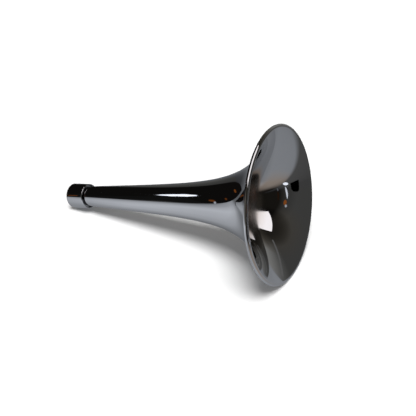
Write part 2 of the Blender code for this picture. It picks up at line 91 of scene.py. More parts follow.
# Collar
COLLAR_RADIUS = 15.2 * MM
COLLAR_LENGTH = 25.6 * MM
LIP_BORE = 14.35 * MM
BORE_RADIUS = 13.0 * MM
WEB_HEIGHTS = (15.3 * MM, 16.8 * MM)
WEB_BORE = 9.9 * MM
GROOVE_RADIUS = 13.7 * MM
GROOVE_HEIGHTS = (0.9 * MM, 1.9 * MM)
BARREL_ROWS = (1.4 * MM, COLLAR_LENGTH - 1.0 * MM)     # keep the reflections between them straight
LIP_ROUND = 0.1 * MM
FRONT_ROUND = 0.72 * MM
REAR_ROUND = 1.1 * MM
BORE_ROUND = 0.25 * MM
GROOVE_ROUND = 0.05 * MM

# Phase plug, seen down the throat
MOTOR_RADIUS = 12.8 * MM
DOME_RADIUS = 6.9 * MM
DOME_BASE = 12.95 * MM
DOME_RISE = 1.55 * MM
SEAT_BORE = 10.4 * MM
SURROUND_EDGE = 10.2 * MM
PLUG_REAR = 13.85 * MM
PLUG_STEP = 15.2 * MM
PLUG_FRONT = 16.6 * MM
PLUG_BOSS = 9.7 * MM
PLUG_VALLEY = 15.6 * MM
PLUG_VALLEY_RADIUS = 7.0 * MM
PLUG_BULLET = 5.0 * MM
PLUG_TIP = 19.5 * MM
PLUG_HOLLOW_RADIUS = 7.4 * MM
PLUG_CLEARANCE = 0.75 * MM
PLUG_RELIEF = 0.35 * MM
PLUG_BOSS_SLOPE = 0.2 * MM
SOUND_HOLES = 10
SOUND_HOLE_RADIUS = 0.75 * MM
SOUND_HOLE_CIRCLE = 6.05 * MM
SOUND_HOLE_DRILL = 4.0 * MM

# Terminals and snap ring in the collar's rear
PLATE_HEIGHTS = (1.95 * MM, 3.35 * MM)
TERMINAL_OFFSET = 6.0 * MM
SCREW_HEAD_RADIUS = 1.9 * MM
SCREW_HEIGHTS = (1.1 * MM, 1.85 * MM, 5.5 * MM)
SCREW_RADIUS = 0.95 * MM
SCREW_CROWN = 0.12 * MM
SCREW_HOLE_RADIUS = 1.1 * MM
SLOT_SIZE = (5.0 * MM, 0.55 * MM, 0.8 * MM)
PLATE_EDGE = 0.2 * MM
RETAINER_HEIGHTS = (1.0 * MM, 1.8 * MM)
RETAINER_RADII = (11.9 * MM, 13.55 * MM)
RETAINER_GAP = math.radians(32)
RETAINER_EYE = math.radians(5)
RETAINER_EYE_RADIUS = 0.45 * MM
RETAINER_EDGE = 0.08 * MM

# Thread of the collar and the nipple
THREAD_PITCH = 1.5 * MM
THREAD_DEPTH = 0.25 * MM
COLLAR_THREAD_RADIUS = 14.0 * MM
COLLAR_THREAD = (17.5 * MM, 22.5 * MM)
NIPPLE_THREAD_RADIUS = 13.8 * MM
NIPPLE_THREAD = (18.0 * MM, 22.0 * MM)
NIPPLE_HEIGHTS = (17.8 * MM, 22.35 * MM)
NIPPLE_EDGE_RADIUS = 13.2 * MM
NIPPLE_LEADS = (0.05 * MM, 0.1 * MM)
THREAD_RELIEF = 0.2 * MM
SPIGOT_END = 32.0 * MM
SPIGOT_WALL = 0.7 * MM
SOLDER_GAP = 0.1 * MM

# Fineness: sides round the axis or round a hole, and steps in an arc
HORN_SIDES = 192
COLLAR_SIDES = 144
DISC_SIDES = 128
PLUG_SIDES = 96
SCREW_SIDES = 64
SCREW_HOLE_SIDES = 32
SOUND_HOLE_SIDES = 24
EYE_SIDES = 20
WIRE_SIDES = 16
SNAP_RING_STEPS = 110
CURL_STEPS = 44
BULLET_STEPS = 12
HOLLOW_STEPS = 8
COLLAR_CORNER_STEPS = 8
CORNER_STEPS = 5
THREAD_ROWS = 12                 # rows of points in each pitch of a thread


# ---------------------------------------------------------------- the horn's own frame

def middle_of(node):
    low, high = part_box(node)
    return (low + high) / 2


def horn_frame():
    """Matrix from the horn's own frame to the row frame: Z along the axis, Y towards terminal 1."""
    turn = next(joint for joint in frame["joints"] if joint["name"] == "driver_turn")
    along = -Vector(turn["axis"]).normalized()
    across = middle_of("terminal_screw_1") - middle_of("terminal_screw_2")
    across = (across - along * across.dot(along)).normalized()
    columns = Matrix((across.cross(along), across, along)).transposed()
    return Matrix.Translation(turn["pos_m"]) @ columns.to_4x4()


HORN = horn_frame()
SLOTS = {part["node"]: part["material_slot"] for part in frame["record"]["subparts"]}
BODIES = {
    node: body
    for body, members in frame["record"]["behaviour"]["bodies"].items()
    for node in members
}


# ---------------------------------------------------------------- node materials

def is_socket(value):
    return isinstance(value, bpy.types.NodeSocket)


class Nodes:
    """A node material, with short calls that add its nodes."""

    def __init__(self, name):
        self.material = bpy.data.materials.new(name)
        self.material.use_nodes = True
        self.tree = self.material.node_tree

    def put(self, node, socket, value):
        """Set a node's input to a number, or link it to another node's output."""
        if is_socket(value):
            self.tree.links.new(value, node.inputs[socket])
        else:
            node.inputs[socket].default_value = value

    def node(self, kind, inputs, **settings):
        made = self.tree.nodes.new("ShaderNode" + kind)
        for name, value in settings.items():
            setattr(made, name, value)
        for socket, value in inputs.items():
            self.put(made, socket, value)
        return made

    def maths(self, operation, first, second=0.0):
        return self.node("Math", {0: first, 1: second}, operation=operation).outputs[0]

    def step(self, value, low, high, out_low=0.0, out_high=1.0):
        """Bring a value from one range to another, held at the ends."""
        inputs = {"Value": value, "From Min": low, "From Max": high, "To Min": out_low,
                  "To Max": out_high}
        return self.node("MapRange", inputs).outputs["Result"]

    def mix(self, share, first, second):
        """Colour between two colours or colour sockets."""
        inputs = {0: share}
        for socket, value in ((6, first), (7, second)):
            inputs[socket] = value if is_socket(value) else (*value, 1.0)
        return self.node("Mix", inputs, data_type="RGBA").outputs[2]


class Paint(Nodes):
    """A node material round one Principled shader, painted in the horn's own frame."""

    def __init__(self, name, colour, roughness, metallic=0.0, **constants):
        super().__init__(name)
        self.shader = self.tree.nodes["Principled BSDF"]
        self.put(self.shader, "Base Color", (*colour, 1.0))
        self.put(self.shader, "Roughness", roughness)
        self.put(self.shader, "Metallic", metallic)
        for socket, value in constants.items():
            self.put(self.shader, socket.replace("_", " "), value)
        self.height = None

    def place(self):
        """Position in the horn's own frame, in millimetres."""
        if self.height is None:
            spot = self.node("TexCoord", {}).outputs["Object"]
            inputs = {
                "Vector": spot,
                "Location": HORN.to_translation(),
                "Rotation": HORN.to_euler(),
                "Scale": (MM, MM, MM),
            }
            self.spot = self.node("Mapping", inputs, vector_type="TEXTURE").outputs[0]
            parts = self.node("SeparateXYZ", {0: self.spot})
            self.across, self.beside, self.height = parts.outputs
            square = self.maths("ADD", self.maths("MULTIPLY", self.across, self.across),
                                self.maths("MULTIPLY", self.beside, self.beside))
            self.radius = self.maths("SQRT", square)
        return self.spot

    def turned_place(self, round_scale):
        """A place stretched round the axis, for marks that a lathe leaves."""
        self.place()
        inputs = {
            "X": self.maths("MULTIPLY", self.across, round_scale),
            "Y": self.maths("MULTIPLY", self.beside, round_scale),
            "Z": self.maths("ADD", self.height, self.radius),
        }
        return self.node("CombineXYZ", inputs).outputs[0]

    def noise(self, scale, vector=None, detail=3.0, roughness=0.55, distortion=0.0):
        inputs = {
            "Vector": self.place() if vector is None else vector,
            "Scale": scale,
            "Detail": detail,
            "Roughness": roughness,
            "Distortion": distortion,
        }
        return self.node("TexNoise", inputs).outputs["Fac"]

    def cells(self, scale):
        """Distance from the nearest of many scattered points."""
        inputs = {"Vector": self.place(), "Scale": scale}
        return self.node("TexVoronoi", inputs).outputs["Distance"]

    def colour(self, value):
        self.put(self.shader, "Base Color", value)

    def roughness(self, value):
        self.put(self.shader, "Roughness", value)

    def bump(self, height, distance):
        """Raise the surface by a height from 0 to 1 times a distance in millimetres."""
        inputs = {"Height": height, "Distance": distance * MM, "Strength": 1.0}
        below = self.shader.inputs["Normal"]
        if below.is_linked:
            inputs["Normal"] = below.links[0].from_socket
        self.put(self.shader, "Normal", self.node("Bump", inputs).outputs[0])


def chrome():
    """Bright plating over spun or turned metal, with faint lathe marks and handling scratches.

    The plating is dull deep in the horn, where a mesh's bore attribute is 1, and there its colour is painted
    darker and browner, as shade.
    """
    thin, thick = (0.60, 0.605, 0.62), (0.64, 0.635, 0.63)
    # The first colour on the next line is painted shade: the darker, browner colour deep in the throat.
    throat_shade, speck_colour = (0.44, 0.39, 0.35), (0.30, 0.27, 0.23)
    smooth, hazy = 0.015, 0.05
    bore_roughness, hair_roughness, speck_roughness = 0.26, 0.05, 0.25
    hair_width, speck_strength = 0.004, 0.35
    wave_height, lathe_height = 0.012, 0.0003     # in millimetres
    paint = Paint("chrome", (0.62, 0.62, 0.63), 0.03, 1.0)
    lathe = paint.noise(1.4, paint.turned_place(0.02), detail=4.0)
    waves = paint.noise(0.09, paint.turned_place(0.25), detail=1.0)
    film = paint.noise(0.035, detail=5.0, roughness=0.6)
    specks = paint.step(paint.cells(0.35), 0.05, 0.02)
    hairs = paint.noise(0.6, paint.turned_place(0.6), detail=2.0, distortion=1.5)
    hairs = paint.maths("ABSOLUTE", paint.maths("SUBTRACT", hairs, 0.5))
    hairs = paint.step(hairs, hair_width, 0.0)
    bore = paint.node("Attribute", {}, attribute_name="bore").outputs["Fac"]
    # Painted shade: deep in the throat the colour turns darker and browner.
    tone = paint.mix(bore, paint.mix(film, thin, thick), throat_shade)
    specked = paint.maths("MULTIPLY", specks, speck_strength)
    paint.colour(paint.mix(specked, tone, speck_colour))
    rough = paint.step(film, 0.35, 0.75, smooth, hazy)
    for marks, depth in ((bore, bore_roughness), (hairs, hair_roughness),
                         (specks, speck_roughness)):
        rough = paint.maths("ADD", rough, paint.maths("MULTIPLY", marks, depth))
    paint.roughness(rough)
    paint.bump(waves, wave_height)
    paint.bump(lathe, lathe_height)
    return paint.material


def satin_metal(name, colour, roughness, stain, grain=0.002):
    """Turned or pressed metal with fine lathe marks and a patchy film of oxide."""
    paint = Paint(name, colour, roughness, 1.0)
    film = paint.noise(0.12, detail=5.0, roughness=0.6)
    lathe = paint.noise(6.0, paint.turned_place(0.05), detail=3.0)
    patches = paint.step(film, 0.45, 0.7)
    paint.colour(paint.mix(patches, colour, stain))
    worn = paint.maths("ADD", paint.step(film, 0.3, 0.7, roughness * 0.75, roughness * 1.3),
                       paint.step(lathe, 0.3, 0.7, -0.05, 0.05))
    paint.roughness(worn)
    paint.bump(lathe, grain)
    return paint.material


def dull_stuff(name, colour, other, roughness, scale, depth, stretch=1.0):
    """Moulded, pressed or papery stuff: two tones in grains, with a matching fine relief."""
    paint = Paint(name, colour, roughness)
    grain = paint.noise(scale, paint.turned_place(stretch), detail=6.0, roughness=0.65)
    clouds = paint.noise(scale * 0.15, detail=3.0)
    paint.colour(paint.mix(paint.step(paint.maths("ADD", grain, clouds), 0.7, 1.3), colour, other))
    paint.roughness(paint.step(grain, 0.3, 0.7, roughness * 0.85, min(1.0, roughness * 1.15)))
    paint.bump(grain, depth)
    return paint.material


def woven(name, colour, other, count, depth):
    """Cloth of crossing threads, with a count of threads in each millimetre."""
    paint = Paint(name, colour, 0.8, Sheen_Weight=0.2)
    paint.place()
    pitch = math.tau * count
    first = paint.maths("SINE", paint.maths("MULTIPLY", paint.across, pitch))
    second = paint.maths("SINE", paint.maths("MULTIPLY", paint.beside, pitch))
    weave = paint.step(paint.maths("MULTIPLY", first, second), -1.0, 1.0)
    uneven = paint.noise(2.0, detail=4.0)
    paint.colour(paint.mix(paint.maths("MULTIPLY", weave, uneven), colour, other))
    paint.roughness(paint.step(weave, 0.0, 1.0, 0.7, 0.9))
    paint.bump(weave, depth)
    return paint.material


def wound():
    """Enamelled wire laid turn beside turn."""
    light, dark = (0.52, 0.20, 0.08), (0.36, 0.12, 0.05)
    wire = 0.16      # its thickness, in millimetres
    paint = Paint("enamelled_copper", light, 0.25, 0.7)
    paint.place()
    turns = paint.maths("SINE", paint.maths("MULTIPLY", paint.height, math.tau / wire))
    shade = paint.noise(1.5, detail=4.0)
    paint.colour(paint.mix(shade, light, dark))
    paint.roughness(paint.step(shade, 0.3, 0.7, 0.2, 0.35))
    paint.bump(paint.step(turns, -1.0, 1.0), wire / 4)
    return paint.material


MATERIALS = {
    "chrome": chrome(),
    "steel_wire": satin_metal("steel_wire", (0.42, 0.42, 0.43), 0.38, (0.27, 0.22, 0.18)),
    "brass": satin_metal("brass", (0.72, 0.52, 0.22), 0.28, (0.45, 0.30, 0.13)),
    "solder_tin": satin_metal("solder_tin", (0.66, 0.66, 0.66), 0.34, (0.44, 0.43, 0.42)),
    "soft_iron": satin_metal("soft_iron", (0.50, 0.50, 0.51), 0.38, (0.30, 0.25, 0.21)),
    "magnet_alloy": satin_metal("magnet_alloy", (0.30, 0.30, 0.31), 0.5, (0.19, 0.17, 0.15), 0.01),
    "spring_steel": satin_metal("spring_steel", (0.34, 0.34, 0.36), 0.32, (0.17, 0.15, 0.15)),
    "aluminium": satin_metal("aluminium", (0.78, 0.78, 0.79), 0.28, (0.60, 0.60, 0.59)),
    "gasket_rubber": dull_stuff("gasket_rubber", (0.035, 0.035, 0.035), (0.08, 0.08, 0.075),
                                0.75, 3.0, 0.02),
    "moulded_phenolic": dull_stuff("moulded_phenolic", (0.05, 0.026, 0.015),
                                   (0.13, 0.070, 0.035), 0.32, 0.8, 0.004),
    "pressed_fibre": dull_stuff("pressed_fibre", (0.32, 0.14, 0.08), (0.22, 0.10, 0.06), 0.7,
                                5.0, 0.02),
    "treated_cloth": woven("treated_cloth", (0.36, 0.27, 0.15), (0.20, 0.14, 0.07), 2.5, 0.03),
    "former_paper": dull_stuff("former_paper", (0.52, 0.40, 0.24), (0.40, 0.29, 0.16), 0.85,
                               4.0, 0.01),
    "enamelled_copper": wound(),
    "wire_sleeve": woven("wire_sleeve", (0.45, 0.05, 0.04), (0.26, 0.03, 0.03), 3.0, 0.03),
}


# ---------------------------------------------------------------- mesh tools

def corner_arc(before, corner, after, radius, steps):
    """Round one corner of an outline in (radius, height)."""
    here = Vector(corner)
    back = (Vector(before) - here).normalized()
    ahead = (Vector(after) - here).normalized()
    half = back.angle(ahead) / 2
    centre = here + (back + ahead).normalized() * radius / math.sin(half)
    start = here + back * radius / math.tan(half) - centre
    end = here + ahead * radius / math.tan(half) - centre
    turn = math.atan2(start.x * end.y - start.y * end.x, start.dot(end))
    points = []
    for step in range(steps + 1):
        angle = turn * step / steps
        cosine, sine = math.cos(angle), math.sin(angle)
        points.append((centre.x + start.x * cosine - start.y * sine,
                       centre.y + start.x * sine + start.y * cosine))
    return points


def rounded(corners, steps=CORNER_STEPS):
    """Closed outline from (radius, height, rounding) corners."""
    outline = []
    for index, (radius, height, rounding) in enumerate(corners):
        if rounding == 0.0:
            outline.append((radius, height))
            continue
        before = corners[index - 1][:2]
        after = corners[(index + 1) % len(corners)][:2]
        outline += corner_arc(before, (radius, height), after, rounding, steps)
    return outline


def arc(radius, start, end, steps):
    angles = [start + (end - start) * step / steps for step in range(steps + 1)]
    return [(radius * math.cos(angle), radius * math.sin(angle)) for angle in angles]


def turned(name, outline, sides, shape=None):
    """Mesh object of a closed (radius, height) outline turned round the horn's axis.

    shape, where given, gives a point's radius from its outline radius, height and angle.
    """
    mesh_maker = bmesh.new()
    rings = []
    for radius, height in outline:
        if radius < TINY:
            rings.append([mesh_maker.verts.new((0.0, 0.0, height))] * sides)
            continue
        ring = []
        for side in range(sides):
            angle = math.tau * side / sides
            reach = shape(radius, height, angle) if shape else radius
            point = (reach * math.cos(angle), reach * math.sin(angle), height)
            ring.append(mesh_maker.verts.new(point))
        rings.append(ring)
    for ring, following in zip(rings, rings[1:] + rings[:1]):
        if ring[0] is ring[1] and following[0] is following[1]:
            continue
        for side in range(sides):
            beside = (side + 1) % sides
            corners = [ring[side], ring[beside], following[beside], following[side]]
            mesh_maker.faces.new(dict.fromkeys(corners))
    return finished(name, mesh_maker)


def shaded(mesh):
    mesh.shade_smooth()
    mesh.set_sharp_from_angle(angle=SHARP)


def finished(name, mesh_maker):
    """Object from a closed bmesh drawn in the horn's own frame."""
    bmesh.ops.recalc_face_normals(mesh_maker, faces=mesh_maker.faces)
    mesh = bpy.data.meshes.new(name)
    mesh_maker.to_mesh(mesh)
    mesh_maker.free()
    mesh.transform(HORN)
    shaded(mesh)
    piece = bpy.data.objects.new(name, mesh)
    bpy.context.scene.collection.objects.link(piece)
    return piece


def cut_plate(name, outlines, heights, edge):
    """Plate with softened edges: closed (x, y) outlines, the later ones being holes."""
    low, high = heights
    curve = bpy.data.curves.new(name, "CURVE")
    curve.dimensions = "2D"
    curve.fill_mode = "BOTH"
    curve.extrude = (high - low) / 2 - edge
    curve.bevel_depth = edge
    curve.bevel_resolution = 2
    curve.offset = -edge
    for outline in outlines:
        spline = curve.splines.new("POLY")
        spline.points.add(len(outline) - 1)
        spline.use_cyclic_u = True
        for point, (x, y) in zip(spline.points, outline):
            point.co = (x, y, 0.0, 1.0)
    drawing = bpy.data.objects.new(name, curve)
    mesh_maker = bmesh.new()
    mesh_maker.from_mesh(drawing.to_mesh())
    bpy.data.objects.remove(drawing)
    bmesh.ops.remove_doubles(mesh_maker, verts=mesh_maker.verts, dist=TINY)
    bmesh.ops.translate(mesh_maker, vec=(0, 0, (low + high) / 2), verts=mesh_maker.verts)
    return finished(name, mesh_maker)


def carved(piece, cutter_maker, name):
    """Take a cutter's shape, drawn in the horn's own frame, out of a piece."""
    cutter = finished(name, cutter_maker)
    boolean = piece.modifiers.new(name, "BOOLEAN")
    boolean.operation = "DIFFERENCE"
    boolean.solver = "EXACT"
    boolean.object = cutter
    graph = bpy.context.evaluated_depsgraph_get()
    mesh = bpy.data.meshes.new_from_object(piece.evaluated_get(graph))
    piece.modifiers.clear()
    piece.data = mesh
    shaded(mesh)
    bpy.data.objects.remove(cutter)
    return piece


def circle(radius, sides, centre=(0.0, 0.0)):
    return [(centre[0] + x, centre[1] + y) for x, y in arc(radius, 0.0, math.tau, sides)[:-1]]


def stands_for(piece, node):
    """Let a fine piece take the place, the body and the finish of a CAD node."""
    slot = SLOTS[node]
    piece.data.materials.clear()
    piece.data.materials.append(MATERIALS[slot])
    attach(piece, BODIES[node])
    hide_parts(node)


# ---------------------------------------------------------------- the horn

def flare_radius(height):
    """Radius of the horn's back surface: a slight cone with an exponential flare on it."""
    cone = NECK_RADIUS + NECK_TAPER * (height - COLLAR_LENGTH)
    mouth_cone = NECK_RADIUS + NECK_TAPER * (MOUTH_HEIGHT - COLLAR_LENGTH)
    return cone + (MOUTH_RADIUS - mouth_cone) * math.exp((height - MOUTH_HEIGHT) / FLARE_LENGTH)


def flare_slope(height):
    """Angle between the horn's wall and its axis."""
    step = 0.01 * MM
    return math.atan2(flare_radius(height + step) - flare_radius(height - step), 2 * step)


def flare_point(height, inset=0.0):
    """Point of the horn's wall, moved into the horn at right angles to the back surface."""
    slope = flare_slope(height)
    return flare_radius(height) - inset * math.cos(slope), height + inset * math.sin(slope)


def wall_heights():
    """Heights from the neck to the mouth, a nearly even distance apart along the wall."""
    heights = [NECK_END]
    while heights[-1] < MOUTH_HEIGHT:
        left = (MOUTH_HEIGHT - heights[-1]) / math.cos(flare_slope(MOUTH_HEIGHT))
        step = min(WALL_ROW, CURL_ROW + ROW_GROWTH * left)
        heights.append(heights[-1] + step * math.cos(flare_slope(heights[-1])))
    heights[-1] = MOUTH_HEIGHT
    return heights


def curl_centre():
    return flare_point(MOUTH_HEIGHT, -CURL_RADIUS)


def horn_outline():
    """Sheet from the neck to the mouth, where it rolls back over the rim wire."""
    heights = wall_heights()
    back = [flare_point(height) for height in heights]
    inside = [flare_point(height, SHEET) for height in reversed(heights)]
    centre_radius, centre_height = curl_centre()
    first = flare_slope(MOUTH_HEIGHT) - math.pi / 2
    last = first + CURL_ANGLE
    inner = arc(CURL_RADIUS, first, last, CURL_STEPS)[1:]
    outer = arc(CURL_RADIUS + SHEET, last, first, CURL_STEPS)[:-1]
    curl = [(centre_radius + rise, centre_height + run) for run, rise in inner + outer]
    return back + curl + inside


def mark_bore(shell):
    """Note how deep in the throat each point of the horn's inside lies, from 0 to 1."""
    to_horn = HORN.inverted()
    depth = shell.data.attributes.new("bore", "FLOAT", "POINT")
    for vertex, mark in zip(shell.data.vertices, depth.data):
        place = to_horn @ vertex.co
        inside = math.hypot(place.x, place.y) < flare_radius(place.z) - SHEET / 2
        share = (BORE_BRIGHT - place.z) / (BORE_BRIGHT - BORE_DULL)
        mark.value = min(1.0, max(0.0, share)) if inside else 0.0


def build_horn():
    shell = turned("horn_shell", horn_outline(), HORN_SIDES)
    mark_bore(shell)
    stands_for(shell, "horn_flare")
    outline = circle(RIM_WIRE_RADIUS, WIRE_SIDES, curl_centre())
    stands_for(turned("rim_core_wire", outline, COLLAR_SIDES), "rim_wire")


# ---------------------------------------------------------------- threads and the collar

def thread_rows(radius, span):
    low, high = span
    rows = round((high - low) / THREAD_PITCH * THREAD_ROWS)
    return [(radius, low + (high - low) * row / rows) for row in range(rows + 1)]


def thread_shape(mean_radius, span, side):
    """Right-hand round thread that fades out at both ends, outwards where side is 1."""
    def reach(radius, height, angle):
        if abs(radius - mean_radius) > TINY:
            return radius
        from_end = min(height - span[0], span[1] - height)
        fade = min(1.0, max(0.0, from_end / THREAD_PITCH))
        wave = math.cos(math.tau * height / THREAD_PITCH - angle)
        return mean_radius + THREAD_DEPTH * (fade * wave + (1.0 - fade) * side)
    return reach


def build_collar():
    corners = [
        (LIP_BORE, COLLAR_LENGTH, LIP_ROUND),
        (COLLAR_RADIUS, COLLAR_LENGTH, FRONT_ROUND),
        (COLLAR_RADIUS, BARREL_ROWS[1], 0.0),
        (COLLAR_RADIUS, BARREL_ROWS[0], 0.0),
        (COLLAR_RADIUS, 0.0, REAR_ROUND),
        (BORE_RADIUS, 0.0, BORE_ROUND),
        (BORE_RADIUS, GROOVE_HEIGHTS[0], GROOVE_ROUND),
        (GROOVE_RADIUS, GROOVE_HEIGHTS[0], 0.0),
        (GROOVE_RADIUS, GROOVE_HEIGHTS[1], 0.0),
        (BORE_RADIUS, GROOVE_HEIGHTS[1], GROOVE_ROUND),
        (BORE_RADIUS, WEB_HEIGHTS[0], 0.0),
        (WEB_BORE, WEB_HEIGHTS[0], 0.0),
        (WEB_BORE, WEB_HEIGHTS[1], 0.0),
        (LIP_BORE, WEB_HEIGHTS[1], 0.0),
        (LIP_BORE, COLLAR_THREAD[0] - THREAD_RELIEF, 0.0),
    ]
    outline = rounded(corners, COLLAR_CORNER_STEPS)
    outline += thread_rows(COLLAR_THREAD_RADIUS, COLLAR_THREAD)
    shape = thread_shape(COLLAR_THREAD_RADIUS, COLLAR_THREAD, 1)
    stands_for(turned("collar_shell", outline, COLLAR_SIDES, shape), "driver_housing")


def spigot_radius(height):
    return flare_radius(height) - SHEET - SOLDER_GAP


def build_nipple():
    rear, front = NIPPLE_HEIGHTS
    root = NIPPLE_THREAD_RADIUS - THREAD_DEPTH
    outline = [
        (spigot_radius(SPIGOT_END) - SPIGOT_WALL, SPIGOT_END),
        (spigot_radius(SPIGOT_END), SPIGOT_END),
        (spigot_radius(front), front),
        (NIPPLE_EDGE_RADIUS, front),
        (root, NIPPLE_THREAD[1] + NIPPLE_LEADS[1]),
        *thread_rows(NIPPLE_THREAD_RADIUS, NIPPLE_THREAD)[::-1],
        (root, NIPPLE_THREAD[0] - NIPPLE_LEADS[0]),
        (NIPPLE_EDGE_RADIUS, rear),
        (WEB_BORE, rear),
    ]
    shape = thread_shape(NIPPLE_THREAD_RADIUS, NIPPLE_THREAD, -1)
    stands_for(turned("threaded_nipple", outline, COLLAR_SIDES, shape), "throat_nipple")


def hollow_height(radius):
    """Height of the plug's hollow rear at a radius, which keeps clear of the diaphragm's dome."""
    radius = min(radius, DOME_RADIUS)
    curvature = (DOME_RADIUS ** 2 + DOME_RISE ** 2) / (2 * DOME_RISE)
    top = DOME_BASE + DOME_RISE + PLUG_CLEARANCE
    return top - curvature + math.sqrt(curvature ** 2 - radius ** 2)


def build_plug():
    """Bullet in a dished plate with a ring of sound holes."""
    bullet = []
    for step in range(BULLET_STEPS):
        angle = math.pi / 2 * step / BULLET_STEPS
        bullet.append((PLUG_BULLET * math.sin(angle),
                       PLUG_VALLEY + (PLUG_TIP - PLUG_VALLEY) * math.cos(angle)))
    relief = PLUG_REAR + PLUG_RELIEF
    rim = rounded([
        (PLUG_BULLET, PLUG_VALLEY, 0.3 * MM),
        (PLUG_VALLEY_RADIUS, PLUG_VALLEY, 0.5 * MM),
        (PLUG_BOSS - PLUG_BOSS_SLOPE, PLUG_FRONT, 0.15 * MM),
        (PLUG_BOSS, PLUG_STEP, 0.0),
        (MOTOR_RADIUS, PLUG_STEP, 0.1 * MM),
        (MOTOR_RADIUS, PLUG_REAR, 0.1 * MM),
        (SEAT_BORE, PLUG_REAR, 0.0),
        (SURROUND_EDGE, relief, 0.0),
        (PLUG_HOLLOW_RADIUS + 0.1 * MM, relief, 0.0),
    ])[1:]
    hollow = [PLUG_HOLLOW_RADIUS * (1 - step / HOLLOW_STEPS) for step in range(HOLLOW_STEPS + 1)]
    under = [(radius, hollow_height(radius)) for radius in hollow]
    plug = turned("phase_plug_bullet", bullet + rim + under, PLUG_SIDES)
    drills = bmesh.new()
    for index in range(SOUND_HOLES):
        angle = math.tau * index / SOUND_HOLES
        place = (SOUND_HOLE_CIRCLE * math.cos(angle), SOUND_HOLE_CIRCLE * math.sin(angle),
                 (PLUG_REAR + PLUG_FRONT) / 2)
        bmesh.ops.create_cone(drills, cap_ends=True, segments=SOUND_HOLE_SIDES,
                              radius1=SOUND_HOLE_RADIUS, radius2=SOUND_HOLE_RADIUS,
                              depth=SOUND_HOLE_DRILL, matrix=Matrix.Translation(place))
    stands_for(carved(plug, drills, "sound_hole_drills"), "phase_plug")


def build_terminals():
    """Round terminal plate with two slotted screws, held by a snap ring."""
    places = [(0.0, TERMINAL_OFFSET), (0.0, -TERMINAL_OFFSET)]
    outlines = [circle(MOTOR_RADIUS, DISC_SIDES)]
    outlines += [circle(SCREW_HOLE_RADIUS, SCREW_HOLE_SIDES, place) for place in places]
    plate = cut_plate("terminal_disc", outlines, PLATE_HEIGHTS, PLATE_EDGE)
    stands_for(plate, "terminal_plate")
    head, shoulder, end = SCREW_HEIGHTS
    for number, (x, y) in enumerate(places, start=1):
        outline = rounded([
            (0.0, end, 0.0),
            (SCREW_RADIUS, end, 0.1 * MM),
            (SCREW_RADIUS, shoulder, 0.0),
            (SCREW_HEAD_RADIUS, shoulder, 0.06 * MM),
            (SCREW_HEAD_RADIUS, head + SCREW_CROWN, 0.1 * MM),
            (SCREW_HEAD_RADIUS * 0.5, head, 1.2 * MM),
            (0.0, head, 0.0),
        ])
        screw = turned(f"slotted_screw_{number}", outline, SCREW_SIDES)
        slot = bmesh.new()
        bmesh.ops.create_cube(slot, size=1.0)
        bmesh.ops.scale(slot, vec=SLOT_SIZE, verts=slot.verts)
        bmesh.ops.translate(slot, vec=(0, 0, head), verts=slot.verts)
        carved(screw, slot, f"screw_slot_{number}")
        screw.data.transform(HORN @ Matrix.Translation((x, y, 0.0)) @ HORN.inverted())
        stands_for(screw, f"terminal_screw_{number}")


def build_snap_ring():
    inner, outer = RETAINER_RADII
    first = RETAINER_GAP / 2
    last = math.tau - first
    middle = (inner + outer) / 2
    outlines = [arc(outer, first, last, SNAP_RING_STEPS) + arc(inner, last, first, SNAP_RING_STEPS)]
    for angle in (first + RETAINER_EYE, last - RETAINER_EYE):
        place = (middle * math.cos(angle), middle * math.sin(angle))
        outlines.append(circle(RETAINER_EYE_RADIUS, EYE_SIDES, place))
    ring = cut_plate("snap_ring", outlines, RETAINER_HEIGHTS, RETAINER_EDGE)
    stands_for(ring, "retaining_ring")


build_horn()
build_collar()
build_nipple()
build_plug()
build_terminals()
build_snap_ring()
for node_name, node_object in frame["nodes"].items():
    for material_slot in node_object.material_slots:
        material_slot.material = MATERIALS[SLOTS[node_name]]


# ---------------------------------------------------------------- floor, light and camera

FLOOR_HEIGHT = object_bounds()[0].z
FLOOR_REACH = 12.0
FLOOR_GAP = 0.2 * MM             # the floor lies this far under the mirrored table top
ROOM_RADIUS = 6.0
ROOM_SIDES = (48, 24)            # round it, and from pole to pole
HORN_MIDDLE = Vector((0.05, -0.02, 0.08))
MOUTH_X = 0.13
BEHIND_Y = (0.0, 0.1)
MIRRORED_ONLY = ("camera", "diffuse", "shadow", "transmission")
CAMERA_ONLY = ("diffuse", "glossy", "shadow", "transmission")
WHITE = (1.0, 1.0, 1.0)

# Sun, fill light and camera
SUN_STRENGTH = 3.55
SUN_SIZE = math.radians(28)
SUN_FROM = Vector((0.22, -0.42, 1.0))
FILL_COLOUR = (1.0, 0.985, 0.965, 1.0)
FILL_STRENGTH = 0.29
CAMERA_PLACE = (0.30236, -0.47889, 0.38667)
CAMERA_FORWARD = Vector((-0.40300, 0.75009, -0.52435))
LENS = 50.0                      # in millimetres, as is the sensor
SENSOR = 36.0

# Painted light and shade of the mirrored table, as (place in metres, brightness): along X, with a painted pool of
# light left of the bell and the bell's painted shadow to its right, then along Y to the left of the bell, with the
# horn's painted shadow beside and behind it, and to the right of it, darker towards the front, then along X where
# the rim's underside gets more painted light
ALONG_TONES = (
    (-2.0, 0.14), (-0.9, 0.22), (-0.5, 0.37), (-0.25, 0.46), (-0.08, 0.68), (0.02, 0.56),
    (0.13, 0.32), (0.25, 0.31), (0.5, 0.27),
)
LEFT_SHADOW_TONES = (
    (-0.06, 1.0), (-0.03, 0.85), (-0.015, 0.6), (0.0, 0.4), (0.02, 0.34), (0.1, 0.28),
    (0.15, 0.27), (0.22, 0.26), (0.3, 0.3),
)
RIGHT_TONES = (
    (-0.6, 0.03), (-0.4, 0.12), (-0.25, 0.5), (-0.12, 0.85), (0.0, 1.0), (0.12, 0.96),
    (0.4, 0.72),
)
UNDER_RIM_TONES = ((0.1, 0.0), (0.14, 0.6), (0.165, 0.6), (0.2, 0.0))

